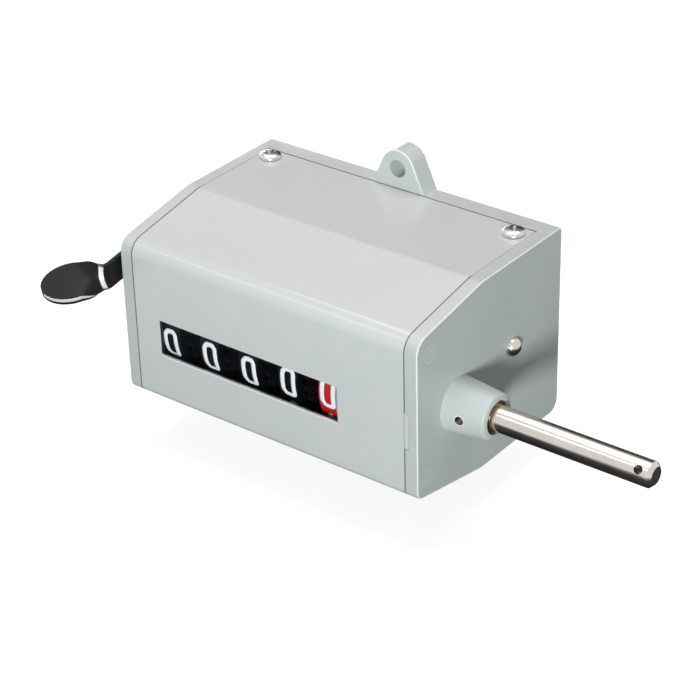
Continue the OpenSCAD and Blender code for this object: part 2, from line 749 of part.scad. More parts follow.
function strip_section(mid, across, way, t = strip_t) =
    let (flat = cross(across, way),
         thick = flat / norm(flat) * t / 2)
    [mid + across + thick, mid - across + thick, mid - across - thick, mid + across - thick];
function arm_section(p, a) =
    strip_section([strip_x, p[0], p[1]], in_side(a - 90) * lever_w / 2, in_side(a));
function bend_way(s) = cos(bend_out * s) * in_side(fore_dir) - [sin(bend_out * s), 0, 0];
function bend_mid(s) =
    [strip_x, arm_end[0], arm_end[1]]
        + bend_r * (sin(bend_out * s) * in_side(fore_dir) - [1 - cos(bend_out * s), 0, 0]);
function bend_section(s) =
    strip_section(bend_mid(s), [0, 0, bend_w / 2], bend_way(s));
function pad_section(u, wide) =
    let (way = bend_way(1),
         up = [0, 0, 1],
         turn = sin(90 * min(1, u / lean_len)),
         across = cos(pad_lean * turn) * up + sin(pad_lean * turn) * cross(way, up))
    strip_section(bend_mid(1) + u * way, across * wide / 2, way, mix(strip_t, pad_t, turn));
function pad_growth(i) =
    let (s = i / pad_steps)
    pad_section(pad_len / 2 * s, mix(bend_w, pad_w, pow(sin(90 * s), 1.5)));
function pad_tip(i) =
    let (a = tip_turn * i / pad_steps)
    pad_section(pad_len / 2 * (1 + sin(a)), pad_w * cos(a));
module lever_strip() {
    sections = concat(
        [arm_section(R + strip_in * hub_w / 2 * [cos(rear_dir), sin(rear_dir)], rear_dir)],
        [for (i = [0 : knee_steps])
            arm_section(knee_line[i], mix(rear_dir, fore_dir, i / knee_steps))],
        [for (i = [0 : bend_steps]) bend_section(i / bend_steps)],
        [for (i = [1 : pad_steps]) pad_growth(i)],
        [for (i = [1 : pad_steps]) pad_tip(i)]);
    n = len(sections) - 1;
    sides = [for (i = [0 : n - 1], j = [0 : 3]) each
        let (a = 4 * i + j, b = 4 * i + (j + 1) % 4)
        [[a, b, a + 4], [b, b + 4, a + 4]]];
    polyhedron([for (q = sections) each q],
               concat(sides, [[3, 2, 1], [3, 1, 0]],
                      [[4 * n, 4 * n + 1, 4 * n + 2], [4 * n, 4 * n + 2, 4 * n + 3]]));
}
module reset_lever() color([0.13, 0.13, 0.14]) {
    difference() {
        rod(R, lever_x, lever_t, hub_w / 2);
        rod(R, lever_x - over, lever_t + 2 * over, reset_d / 2 + tight_fit);
    }
    lever_strip();
}

// Return spring: a wound wire round the reset shaft. One leg lies along the right arm and hooks over
// its edge, the other ends in a small hole of the rear wall.
wire_d = 0.9;
hook_gap = 0.05;
coil_r = arm_neck_w / 2 + hook_gap + wire_d / 2;
coils = 4;
coil_pitch = 1.5;
coil_gap = 0.2;
coil_x = right_arm_x + arm_t + coil_gap + wire_d / 2;
coil_turn = 360 * coils - 90 - pinion_dir;
coil_end_x = coil_x + coil_pitch * coil_turn / 360;
leg = 8;
hook = 1.8;
leg_hole_deep = 2;
leg_hole_play = 0.3;
leg_in = 1.5;
rings = 8;
wire_sides = 6;
coil_rings = ceil(rings * coil_turn / 360);
function coil_side(s) =
    let (a = pinion_dir + min(max(s, 0), 1) * coil_turn)
    [0, cos(a), sin(a)];
function coil_point(s) =
    [coil_x + s * (coil_end_x - coil_x), R[0], R[1]] + coil_r * coil_side(s);
hook_at = coil_point(0) + leg * [0, sin(pinion_dir), -cos(pinion_dir)];
spring_path = concat(
    [hook_at - [hook, 0, 0], hook_at],
    [for (i = [0 : coil_rings]) coil_point(i / coil_rings)],
    [[coil_end_x, leg_in - rear_wall, R[1] - coil_r]]);
function path_dir(p, i) =
    let (n = len(p) - 1,
         into = i > 0 ? (p[i] - p[i - 1]) / norm(p[i] - p[i - 1]) : [0, 0, 0],
         out = i < n ? (p[i + 1] - p[i]) / norm(p[i + 1] - p[i]) : [0, 0, 0])
    (into + out) / norm(into + out);
function wire_ring(p, i) =
    let (d = path_dir(p, i),
         across = cross(d, coil_side((i - 2) / coil_rings)),
         u = across / norm(across),
         v = cross(d, u))
    [for (j = [0 : wire_sides - 1])
        p[i] + wire_d / 2 * (u * cos(j * 360 / wire_sides) + v * sin(j * 360 / wire_sides))];
spring_gap = min([for (i = [0 : len(spring_path) - 1], j = [0 : len(spring_path) - 1])
    if (j - i >= rings / 2) norm(spring_path[i] - spring_path[j])]) - wire_d;
echo(least_gap_of_spring_to_itself = spring_gap);
module return_spring() color([0.6, 0.61, 0.63]) {
    n = len(spring_path);
    m = wire_sides;
    last = (n - 1) * m;
    pts = [for (i = [0 : n - 1]) each wire_ring(spring_path, i)];
    sides = [for (i = [0 : n - 2], j = [0 : m - 1]) each
        let (a = i * m + j, b = i * m + (j + 1) % m)
        [[a, b, a + m], [b, b + m, a + m]]];
    first_cap = [for (j = [1 : m - 2]) [0, j + 1, j]];
    last_cap = [for (j = [1 : m - 2]) [last, last + j, last + j + 1]];
    polyhedron(pts, concat(sides, first_cap, last_cap));
}

// Stop pin in the left wall, on which the left arm rests
stop_r = 1.5;
stop_gap = 0.1;
stop_share = 0.6;
stop_grip = 2;
stop_over = 0.3;
stop_at = mix(R, P, stop_share)
    - (arm_neck_w / 2 + stop_r + stop_gap) * [cos(pinion_dir), sin(pinion_dir)];
module stop_pin() color([0.75, 0.76, 0.77]) {
    rod(stop_at, -inner_x - stop_grip, left_arm_x + arm_t + stop_over + inner_x + stop_grip, stop_r);
}

housing();
front_cover();
cover_screws();
window_lens();
shaft_bush();
left_bush();
drive_shaft();
drive_pinion();
drive_pin();
retaining_ring();
counter_stud();
counter_gear();
units_gear();
clutch_washer();
number_wheel_1();
number_wheel_2();
number_wheel_3();
number_wheel_4();
number_wheel_5();
transfer_pinion_1();
transfer_pinion_2();
transfer_pinion_3();
transfer_pinion_4();
pinion_shaft();
pinion_clips();
rocker_arm_left();
rocker_arm_right();
reset_comb();
reset_shaft();
reset_lever();
lever_nut();
return_spring();
stop_pin();
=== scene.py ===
# %% [markdown]
# A five digit revolution counter: a grey die-cast frame, a bent sheet cover with a window, a bright
# drive shaft on the right and a dark thumb lever on the left. The shapes come from the CAD frame in
# metres. This lesson rounds their edges, adds what CAD leaves out, such as the digits and the cross
# recesses, and gives each surface a finish.

# %% Load the CAD frame
import bpy
import bmesh
import math
from mathutils import Matrix, Vector


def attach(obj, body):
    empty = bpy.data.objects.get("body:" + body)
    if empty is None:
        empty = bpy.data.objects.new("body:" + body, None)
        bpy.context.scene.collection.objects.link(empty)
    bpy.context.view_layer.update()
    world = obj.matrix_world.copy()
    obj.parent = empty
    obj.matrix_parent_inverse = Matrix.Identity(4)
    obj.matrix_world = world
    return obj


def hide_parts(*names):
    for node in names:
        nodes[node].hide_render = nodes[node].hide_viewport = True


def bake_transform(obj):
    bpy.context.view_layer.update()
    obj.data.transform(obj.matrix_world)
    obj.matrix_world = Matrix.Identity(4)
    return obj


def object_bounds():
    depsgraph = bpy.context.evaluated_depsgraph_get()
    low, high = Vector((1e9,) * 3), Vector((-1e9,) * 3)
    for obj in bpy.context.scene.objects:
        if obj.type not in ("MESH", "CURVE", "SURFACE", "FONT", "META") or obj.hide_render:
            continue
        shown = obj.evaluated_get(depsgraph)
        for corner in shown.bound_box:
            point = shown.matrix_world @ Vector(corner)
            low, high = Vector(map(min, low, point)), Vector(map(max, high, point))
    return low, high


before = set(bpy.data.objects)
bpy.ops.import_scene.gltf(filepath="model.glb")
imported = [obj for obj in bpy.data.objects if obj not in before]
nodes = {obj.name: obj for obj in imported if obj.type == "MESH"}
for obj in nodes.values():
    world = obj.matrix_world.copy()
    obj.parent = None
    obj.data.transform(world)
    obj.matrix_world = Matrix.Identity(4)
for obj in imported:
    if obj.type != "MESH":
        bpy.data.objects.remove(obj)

scene = bpy.context.scene
cad_low, cad_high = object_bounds()
MM = 0.001
print("CAD box", [round(v, 4) for v in cad_low], [round(v, 4) for v in cad_high])

# %% [markdown]
# The camera stands to the right of the front and looks down by about 29 degrees. It could be aimed with
# a Track To constraint. Here its three directions were solved from the corners of the body, whose sizes
# are known, so they are written as a rotation, column by column, and a long lens keeps the view flat.

# %% Camera
PICTURE_PX, FOCAL_PX, SENSOR_MM = 700, 2243.74, 36
right = Vector((0.79547, 0.60560, -0.02198))
down = Vector((0.29007, -0.41237, -0.86361))
forward = Vector((-0.53206, 0.68059, -0.50369))
stand = (0.280859, -0.384244, 0.255525)
camera = bpy.data.objects.new("camera", bpy.data.cameras.new("camera"))
camera.data.sensor_width = SENSOR_MM
camera.data.lens = FOCAL_PX / PICTURE_PX * SENSOR_MM
camera.data.clip_start = 0.01
turn = Matrix((right, -down, -forward)).transposed().to_4x4()
camera.matrix_world = Matrix.Translation(stand) @ turn
scene.collection.objects.link(camera)
scene.camera = camera
scene.view_settings.view_transform = "Standard"
print("lens", round(camera.data.lens, 2), "mm")

# %% [markdown]
# Shader maths reads best as plain expressions. A small class wraps a socket, and each operator on it adds
# a Math node. A second class holds a node tree and makes any other node from its type, settings and sockets.
# A finish is such a tree in a material, with results joined to its main shader. Object coordinates come in
# metres, and the helpers below turn them into millimetres, the unit of all sizes in the finishes.


# %% Expressions on sockets
class Value:
    def __init__(self, owner, socket):
        self.owner = owner
        self.socket = socket

    def math(self, operation, a, b=0.0):
        return self.owner.node("ShaderNodeMath", {"operation": operation}, {0: a, 1: b})

    def __add__(self, other):
        return self.math("ADD", self, other)

    __radd__ = __add__

    def __sub__(self, other):
        return self.math("SUBTRACT", self, other)

    def __rsub__(self, other):
        return self.math("SUBTRACT", other, self)

    def __mul__(self, other):
        return self.math("MULTIPLY", self, other)

    __rmul__ = __mul__

    def __truediv__(self, other):
        return self.math("DIVIDE", self, other)

    def __rtruediv__(self, other):
        return self.math("DIVIDE", other, self)

    def __pow__(self, other):
        return self.math("POWER", self, other)

    def __lt__(self, other):
        return self.math("LESS_THAN", self, other)

    def __gt__(self, other):
        return self.math("GREATER_THAN", self, other)

    def __abs__(self):
        return self.math("ABSOLUTE", self)

    def within(self, low, high):
        """1 between two numbers, and 0 outside."""
        return (self > low) * (self < high)


# %% Colours and node trees
def linear(*rgb):
    """A colour as it looks on screen, 0 to 255, as the linear colour that a shader takes."""
    part = [c / 255 for c in rgb]
    return [c / 12.92 if c <= 0.04045 else ((c + 0.055) / 1.055) ** 2.4 for c in part] + [1.0]


class Nodes:
    def __init__(self, tree):
        self.tree = tree

    def join(self, value, socket):
        if isinstance(value, Value):
            self.tree.links.new(value.socket, socket)
        else:
            socket.default_value = value

    def node(self, kind, settings, sockets, output=0):
        made = self.tree.nodes.new(kind)
        for key, value in settings.items():
            setattr(made, key, value)
        for key, value in sockets.items():
            self.join(value, made.inputs[key])
        return Value(self, made.outputs[output])

    def end(self, kind, shader):
        """Make a shader the result of the tree."""
        self.join(shader, self.tree.nodes[kind].inputs["Surface"])

    def seen(self):
        """1 for what the camera, a mirror or a clear piece sees."""
        kinds = ("Is Camera Ray", "Is Glossy Ray", "Is Transmission Ray")
        return sum(self.node("ShaderNodeLightPath", {}, {}, kind) for kind in kinds) > 0.5

    def place(self):
        return self.node("ShaderNodeTexCoord", {}, {}, "Object")

    def axis(self, name):
        """How far a point lies along X, Y or Z, in mm."""
        return self.node("ShaderNodeSeparateXYZ", {}, {"Vector": self.place()}, name) / MM

    def dot(self, vector, way):
        return self.node("ShaderNodeVectorMath", {"operation": "DOT_PRODUCT"}, {0: vector, 1: way}, "Value")

    def looks(self, way):
        """How far the surface looks in a direction, 1 for straight."""
        return self.dot(self.node("ShaderNodeTexCoord", {}, {}, "Normal"), way)

    def noise(self, size, detail=2.0, stretch=(1, 1, 1)):
        """Noise with lumps of a size in mm."""
        where = self.node("ShaderNodeMapping", {}, {"Vector": self.place(), "Scale": stretch})
        return self.node("ShaderNodeTexNoise", {},
                         {"Vector": where, "Scale": 1 / (size * MM), "Detail": detail}, "Fac")

    def spread(self, value, low, high):
        """Where a value from low to high becomes 0 to 1."""
        return self.node("ShaderNodeMapRange", {"clamp": True},
                         {"Value": value, "From Min": low, "From Max": high})

    def mix(self, factor, a, b):
        return self.node("ShaderNodeMix", {"data_type": "RGBA"}, {0: factor, 6: a, 7: b}, 2)

    def layers(self, base, *coats):
        """Colours laid on a base, each with its mask and its strength."""
        for mask, strength, rgb in coats:
            base = self.mix(mask * strength, base, linear(*rgb))
        return base

    def bump(self, height, depth, strength):
        """A surface raised by a height, whose depth is in mm."""
        return self.node("ShaderNodeBump", {},
                         {"Height": height, "Distance": depth * MM, "Strength": strength})


# %% Finishes
class Finish(Nodes):
    def __init__(self, name, **constants):
        self.material = bpy.data.materials.new(name)
        self.material.use_nodes = True
        super().__init__(self.material.node_tree)
        self.shader = self.tree.nodes["Principled BSDF"]
        self.set(**constants)

    def set(self, **sockets):
        for key, value in sockets.items():
            self.join(value, self.shader.inputs[key.replace("_", " ")])

    def show(self):
        print(self.material.name, len(self.tree.nodes), "nodes")


# %% [markdown]
# The frame is an aluminium casting under satin grey paint. Its right wall carries two faint double rings
# where ejector pins pressed, paint is thin on the rounded outer edges, and painted shade darkens the seams
# beside the cover, where the narrow gaps fall into shadow. Such marks could be painted by hand on a UV map.
# Here each one is a mask, drawn from where a point lies and which way its surface looks, so it stays sharp
# at any distance.

# %% Marks on the casting
SHAFT_Y, SHAFT_Z = -41, -2
WALL_X, COVER_X, HALF_HEIGHT = 42, 38.5, 24
REAR_Y, SLOPE_Y = -5.3, -31
ON_EDGE = (0.25, 0.97)
BOSS_CLEAR = 9
RINGS = ((2.0, 0.14), (0.9, 0.12))
casting = Finish("casting_paint", IOR=1.45)
at_x, at_y, at_z = (casting.axis(name) for name in "XYZ")
from_middle, from_level = abs(at_x), abs(at_z)


def reach(a, a0, b, b0):
    """Distance from a line along the third axis."""
    return ((a - a0) ** 2 + (b - b0) ** 2) ** 0.5


def ring_mark(y, z):
    """1 on two thin rings of the right wall."""
    far = reach(at_y, y, at_z, z)
    return sum(abs(far - radius) < half_width for radius, half_width in RINGS)


marks = (ring_mark(-51.4, 15.3) + ring_mark(-52.6, -15.4)) * (at_x > WALL_X - 0.1)
wall_edge = abs(casting.looks((1, 0, 0))).within(*ON_EDGE)
wall_edge = wall_edge * from_middle.within(WALL_X - 0.4, WALL_X + 0.02)
wall_edge = wall_edge * (reach(at_y, SHAFT_Y, at_z, SHAFT_Z) > BOSS_CLEAR)
lug_edge = abs(casting.looks((0, 1, 0))).within(*ON_EDGE)
lug_edge = lug_edge * (from_level > HALF_HEIGHT + 0.2) * (at_y < REAR_Y + 0.4)
# painted shade in the seams beside the cover, where the narrow gaps fall into shadow
seam_shade = from_middle.within(COVER_X - 0.1, COVER_X + 0.24) * (at_y < SLOPE_Y)
rear_seam_shade = at_y.within(REAR_Y - 0.15, REAR_Y + 0.1)
rear_seam_shade = rear_seam_shade * (from_level < HALF_HEIGHT + 0.05) * (from_middle < COVER_X + 0.2)
casting.show()

# %% [markdown]
# A small hole in the bearing boss takes drops of oil. It is real in the CAD, but its depth would look as
# grey as the wall. Painted shade inside, a lower wall painted lighter where the light still reaches and a
# pale rim, where the drill broke the paint, come from the distance to the hole's line.

# %% Oil hole
OIL_X, OIL_R = 46.5, 1.0
from_oil = reach(at_x, OIL_X, at_z, SHAFT_Z)
ahead = at_y < SHAFT_Y
oil_hole = (from_oil < OIL_R + 0.05) * ahead
oil_rim = (abs(from_oil - (OIL_R + 0.15)) < 0.15) * ahead
# painted shade inside the oil hole, lighter on its lower wall where the light still reaches
oil_light = casting.spread(at_z, SHAFT_Z - 0.3, SHAFT_Z - 0.9)
oil_hole_shade = casting.mix(oil_light, linear(34, 33, 30), linear(150, 150, 144))
casting.show()

# %% [markdown]
# Satin paint has a fine orange peel, a little dust in its low spots and slightly uneven gloss. Noise at
# three sizes gives those. Upward faces are painted a little paler and less green, as painted light from
# above. The marks are laid on as coats, one after the other, so the order says what covers what.

# %% Grey casting paint
peel = casting.noise(0.5, 3)
cloud = casting.spread(casting.noise(9, 4), 0.3, 0.7)
fleck = casting.spread(casting.noise(0.25, 2), 0.66, 0.74)
# painted light: faces turned up are paler, as if lit from above
painted_top_light = casting.spread(casting.looks((0, 0, 1)), 0.4, 0.95) * (at_x < WALL_X + 0.05)
casting_base = casting.layers(
    casting.mix(cloud, linear(186, 194, 192), linear(190, 197, 195)),
    (fleck, 0.25, (168, 176, 174)),
    (marks, 0.6, (216, 221, 220)),
    # painted light from above on the upward faces
    (painted_top_light, 0.75, (205, 206, 206)),
    (wall_edge + lug_edge, 0.8, (236, 238, 237)),
    # painted shade in the seams beside the cover
    (seam_shade * 0.75 + rear_seam_shade * 0.9, 1.0, (90, 96, 94)),
    (oil_rim, 0.7, (228, 232, 230)))
# the oil hole's painted shade goes over the paint
casting.set(Base_Color=casting.mix(oil_hole, casting_base, oil_hole_shade),
            Roughness=0.36 + 0.08 * cloud + 0.06 * fleck,
            Normal=casting.bump(peel + marks * 2.0, 0.012, 0.6))
casting.show()

# %% [markdown]
# The cover is bent sheet metal. The cut edges round its window are dark, the lower lip carries a painted
# highlight, and painted shade lies along its ends, where they meet the casting. The window's sizes are those
# of the CAD, so the same kind of mask finds each place.

# %% Marks on the cover
WINDOW_X, WINDOW_Z, WINDOW_W, WINDOW_H = -5.487, -2.8, 51.574, 9.2
FRONT_Y = -56
LIP_Z = WINDOW_Z - WINDOW_H / 2 - 0.02
sheet = Finish("cover_paint", IOR=1.48, Coat_Roughness=0.1)
sheet_x, sheet_y, sheet_z = (sheet.axis(name) for name in "XYZ")
from_window = abs(sheet_x - WINDOW_X)
# painted highlight on the window's lower lip
lip_highlight = (from_window < WINDOW_W / 2) * (abs(sheet_z - LIP_Z) < 0.2) * (sheet_y < FRONT_Y + 0.6)
dark_cut_edges = (from_window < WINDOW_W / 2 + 0.03) * (abs(sheet_z - WINDOW_Z) < WINDOW_H / 2 + 0.03)
dark_cut_edges = dark_cut_edges * sheet.spread(sheet_y, FRONT_Y + 0.05, FRONT_Y + 0.1) * (sheet_y < FRONT_Y + 2)
dark_cut_edges = dark_cut_edges * (1.0 - lip_highlight)
# painted shade along the cover's ends, where the seams fall into shadow
sheet_seam_shade = abs(sheet_x).within(COVER_X - 0.14, COVER_X + 0.02) * (sheet_y < SLOPE_Y)
sheet_seam_shade = sheet_seam_shade + (sheet_y > REAR_Y - 0.3)
sheet.show()

# %% [markdown]
# The cover has a smoother and shinier coat of the same grey, so its top mirrors the lug faintly. A thin
# clear layer could be a second shader. The coat weight of the main shader does the same job. The top is
# painted a little paler than the slope in front of it, and the slope a little paler than the front, as
# painted light from above.

# %% Grey cover paint
sheet_peel = sheet.noise(1.1, 2)
sheet_cloud = sheet.spread(sheet.noise(14, 3), 0.3, 0.7)
sheet_fleck = sheet.spread(sheet.noise(0.3, 2), 0.68, 0.75)
sheet_top_light = sheet.looks((0, 0, 1))
sheet_base = sheet.layers(
    sheet.mix(sheet_cloud, linear(199, 205, 204), linear(203, 208, 207)),
    # painted light from above: the slope and, more, the flat top are paler
    (sheet.spread(sheet_top_light, 0.5, 0.9), 0.8, (204, 204, 205)),
    (sheet.spread(sheet_top_light, 0.975, 0.995), 0.8, (216, 216, 216)),
    (sheet_fleck, 0.2, (182, 188, 187)),
    # painted shade at the cover's ends
    (sheet_seam_shade, 0.75, (100, 106, 104)),
    # painted highlight on the lower lip
    (lip_highlight, 0.9, (246, 248, 248)),
    (dark_cut_edges, 1.0, (22, 25, 29)))
sheet.set(Base_Color=sheet_base,
          Roughness=0.28 + 0.06 * sheet_cloud + 0.4 * dark_cut_edges,
          Coat_Weight=(0.35 + 0.1 * sheet_cloud) * (1.0 - dark_cut_edges),
          Normal=sheet.bump(sheet_peel, 0.01, 0.5))
sheet.show()

# %% [markdown]
# The shaft, the screws and the domed end of the reset shaft are nickel plated. Turning leaves rings round
# the axis. Many fine grooves could be modelled, but noise that is stretched across X becomes fine bands
# and shakes gloss and normal a little, which is all that the eye sees of them.

# %% Bright nickel
nickel = Finish("bright_nickel", Metallic=1.0)
rings = nickel.noise(0.16, 2, (1, 0.02, 0.02))
haze = nickel.noise(4, 3)
nickel.set(Base_Color=nickel.mix(haze, linear(198, 192, 185), linear(219, 214, 207)),
           Roughness=0.13 + 0.08 * haze + 0.05 * rings,
           Normal=nickel.bump(rings, 0.001, 0.3))
plate = Finish("plated_heads", Metallic=1.0)
plate_haze = plate.noise(1.2, 3)
plate.set(Base_Color=plate.mix(plate_haze, linear(188, 188, 184), linear(220, 220, 217)),
          Roughness=0.16 + 0.14 * plate_haze,
          Normal=plate.bump(plate.noise(0.3, 2), 0.01, 0.4))
nickel.show()
plate.show()

# %% [markdown]
# The bush is sintered bronze: brown gold, porous and oily. A cell pattern would look regular, so fine
# noise darkens pores, and a wider one marks where the oil has stained it. The small drive pinion inside is
# plain machined brass.

# %% Bronze and brass
bronze = Finish("oiled_bronze", Metallic=1.0)
pores = bronze.spread(bronze.noise(0.18, 2), 0.55, 0.7)
stain = bronze.spread(bronze.noise(1.6, 3), 0.35, 0.65)
oiled = bronze.mix(stain, linear(186, 136, 66), linear(222, 176, 104))
bronze.set(Base_Color=bronze.mix(pores * 0.7, oiled, linear(66, 42, 18)),
           Roughness=0.26 + 0.25 * pores,
           Normal=bronze.bump(pores, -0.02, 0.6))
brass = Finish("machined_brass", Metallic=1.0)
brass_haze = brass.noise(1.5, 3)
brass.set(Base_Color=brass.mix(brass_haze, linear(196, 160, 84), linear(222, 190, 116)),
          Roughness=0.22 + 0.16 * brass_haze)
bronze.show()
brass.show()

# %% [markdown]
# The thumb lever is steel under black lacquer. Painted highlights lie on the pad's rim and on the bend:
# bright colour with a little metallic gloss. The rim's highlight comes as a number on each face corner,
# which is set when the lever is made below. The bend's highlight is a crescent beside the bend, drawn from
# the distance past the bend and the height, on the side of the bend that faces front and right.

# %% Black lacquer of the lever
BEND_END = Vector((-44.144, -59.931, 10.925))
PAD_WAY = Vector((-0.7071, -0.6960, -0.1252))
FOLD_Z, FOLD_HALF = 11.0, 2.6
dark = Finish("black_lacquer", IOR=1.42, Specular_IOR_Level=0.15)
# painted highlight on the pad's rim, read from the corner numbers
rim = dark.spread(dark.node("ShaderNodeAttribute", {"attribute_name": "rim"}, {}, "Fac"), 0.4, 0.55)
off_middle = (dark.axis("Z") - FOLD_Z) / FOLD_HALF
past_bend = dark.dot(dark.place(), PAD_WAY) / MM - BEND_END.dot(PAD_WAY)
off_fold = abs(past_bend - (0.45 - 0.35 * off_middle ** 2))
fold_highlight = dark.spread(off_fold, 0.62, 0.42) * dark.spread(abs(off_middle), 1.15, 0.95)
bend_highlight = fold_highlight * (dark.looks((0.745, -0.667, 0)) > 0.2)
# painted highlights on the rim and the bend
painted_highlight = dark.node("ShaderNodeMath", {"operation": "MAXIMUM"}, {0: rim, 1: bend_highlight})
smear = dark.noise(2.2, 3)
lacquer = dark.mix(smear, linear(25, 24, 24), linear(33, 31, 30))
dark.set(Base_Color=dark.mix(painted_highlight, lacquer, linear(236, 236, 233)),
         Metallic=0.25 * painted_highlight,
         Roughness=0.36 + 0.12 * smear - 0.1 * painted_highlight,
         Normal=dark.bump(dark.noise(0.35, 2), 0.006, 0.5))
dark.show()


# %% [markdown]
# The wheels and gears are moulded plastic: black, red and natural white. One recipe with two close shades,
# a faint spark pattern and a soft gloss serves all of them. The red units wheel is coloured pale blue along
# its right edge, which shows as a strip in the window.

# %% Moulded plastics
def moulded(name, low, high, gloss, shine=0.5):
    plastic = Finish(name, IOR=1.49, Specular_IOR_Level=shine)
    grain = plastic.noise(0.2, 2)
    flow = plastic.noise(3, 3)
    plastic.shade = plastic.mix(flow, linear(*low), linear(*high))
    plastic.set(Base_Color=plastic.shade,
                Roughness=gloss + 0.12 * flow,
                Normal=plastic.bump(grain, 0.008, 0.5))
    plastic.show()
    return plastic


PALE_FROM_X = 18.62
black_plastic = moulded("black_plastic", (9, 10, 13), (16, 17, 21), 0.28, 0.15)
red_plastic = moulded("red_plastic", (186, 16, 18), (202, 28, 26), 0.34)
# the units wheel is coloured pale blue along its right edge
pale_edge = red_plastic.axis("X") > PALE_FROM_X
red_plastic.set(Base_Color=red_plastic.mix(pale_edge, red_plastic.shade, linear(150, 155, 178)))
white_plastic = moulded("natural_plastic", (214, 211, 196), (226, 224, 212), 0.42)
digit_paint = moulded("digit_paint", (236, 240, 246), (246, 248, 252), 0.5)

# %% [markdown]
# Inner stampings and pins are plain steel with drawn scratches along X, and the pane is clear acrylic. Glass
# that bends light would darken the wheels behind it, so the pane lets most light straight through by its
# alpha and keeps only a gloss that grows at flat angles.

# %% Plain steel and clear pane
steel = Finish("plain_steel", Metallic=1.0)
drawn = steel.noise(0.2, 3, (0.05, 1, 1))
steel.set(Base_Color=steel.mix(drawn, linear(150, 151, 152), linear(182, 183, 184)),
          Roughness=0.28 + 0.14 * drawn,
          Normal=steel.bump(drawn, 0.006, 0.5))
pane = Finish("clear_pane", Base_Color=linear(232, 240, 246), Metallic=1.0)
sheen = pane.node("ShaderNodeLayerWeight", {}, {"Blend": 0.5}, "Facing")
smudge = pane.spread(pane.noise(5, 3), 0.45, 0.75)
pane.set(Alpha=0.006 + 0.35 * sheen ** 5.0 + 0.006 * smudge, Roughness=0.04 + 0.1 * smudge)
steel.show()
pane.show()


# %% [markdown]
# CAD edges are knife sharp, and real ones catch light. A node's mesh must stay as it is, so a copy is made,
# its loose triangles are merged, flat areas become single faces, and a Bevel modifier rounds what is left
# sharp. The copy then stands for the node and rides on the node's body. Where only chosen edges may be
# rounded, a weight on each edge says so.

# %% Objects and their edges
def add(name, data):
    """An object at the origin, in the scene."""
    made = bpy.data.objects.new(name, data)
    scene.collection.objects.link(made)
    return made


def shade_smooth(shape, angle, soft=None):
    """Smooth faces, with sharp edges where they meet at more than an angle."""
    for face in shape.faces:
        face.smooth = True
    for edge in shape.edges:
        flat = edge.calc_face_angle(0) < math.radians(angle)
        edge.smooth = flat or soft is not None and soft(*(v.co / MM for v in edge.verts))


def weigh_edges(mesh, pick):
    """Give the sharp edges that are picked a bevel weight."""
    weights = mesh.attributes.new("bevel_weight_edge", "FLOAT", "EDGE")
    for edge, weight in zip(mesh.edges, weights.data):
        ends = [mesh.vertices[v].co / MM for v in edge.vertices]
        weight.value = 1.0 if edge.use_edge_sharp and pick(*ends) else 0.0


# %% Rounded copies
MERGE, FLAT_ANGLE = 1e-6, 0.6


def rounded_copy(name, cad, body, finish, width, angle=32, segments=2, pick=None, soft=None):
    """A copy of a CAD node with its sharp edges rounded by a width in mm."""
    mesh = nodes[cad].data.copy()
    shape = bmesh.new()
    shape.from_mesh(mesh)
    bmesh.ops.remove_doubles(shape, verts=shape.verts, dist=MERGE)
    bmesh.ops.dissolve_limit(shape, angle_limit=math.radians(FLAT_ANGLE),
                             verts=shape.verts, edges=shape.edges)
    shade_smooth(shape, angle, soft)
    shape.to_mesh(mesh)
    shape.free()
    mesh.materials.clear()
    mesh.materials.append(finish.material)
    piece = add(name, mesh)
    if pick:
        weigh_edges(mesh, pick)
    if width:
        bevel = piece.modifiers.new("round", "BEVEL")
        bevel.width = width * MM
        bevel.segments = segments
        bevel.limit_method = "WEIGHT" if pick else "ANGLE"
        bevel.angle_limit = math.radians(angle)
        bevel.harden_normals = soft is None
        bevel.use_clamp_overlap = True
    if body:
        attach(piece, body)
    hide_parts(cad)
    print(name, len(mesh.polygons), "faces")
    return piece


# %% [markdown]
# The casting, the cover, the bush and the shafts only need their edges rounded. A bevel on every edge would
# be the simplest way, but on the casting its smallest steps would hold the width back everywhere. There it
# is done along the rims of the end walls and the lugs alone.

# %% Casting, cover and shafts
LUG_Z, LUG_HOLE_CLEAR, LUG_HALF = 29, 3, 8


def outer_edge(a, b):
    """The rim of an end wall, or the front rim of a lug."""
    ends = (a, b)
    wall = all(abs(abs(p.x) - WALL_X) < 0.01 for p in ends)
    boss = all(math.hypot(p.y - SHAFT_Y, p.z - SHAFT_Z) < BOSS_CLEAR for p in ends)
    lug = all(abs(p.z) > HALF_HEIGHT - 0.1 and p.y < REAR_Y + 0.1 and abs(p.x) < LUG_HALF for p in ends)
    hole = all(math.hypot(p.x, abs(p.z) - LUG_Z) <= LUG_HOLE_CLEAR for p in ends)
    return wall and not boss or lug and not hole


rounded_copy("cast_frame", "housing", "frame", casting, 0.35, pick=outer_edge)
rounded_copy("bent_cover", "front_cover", "frame", sheet, 0.15)
rounded_copy("boss_bush", "shaft_bush", "frame", bronze, 0.2)
rounded_copy("drive_spindle", "drive_shaft", "drive", nickel, 0.12)
rounded_copy("reset_spindle", "reset_shaft", "rocker", nickel, 0.15)

# %% [markdown]
# The lever is a strip that bends outwards and twists into a round pad. Its neck is made of steep triangles
# in the CAD, so the edges across the twist are kept smooth and all others are rounded. The rim's painted
# highlight could be a separate strip of metal. A number on the face corners of the narrow side is enough, 1
# at the upper edge, which is painted bright, and 0 at the lower, and the lacquer reads it.

# %% Thumb lever
LEAN, TWIST_LENGTH, PAD_TIP = 72, 6, 14.3
NECK_FROM, NECK_TO, STRIP_ACROSS = -0.1, 6.6, 4
RIM_FROM, NARROW_SIDE = 0.3, 0.6


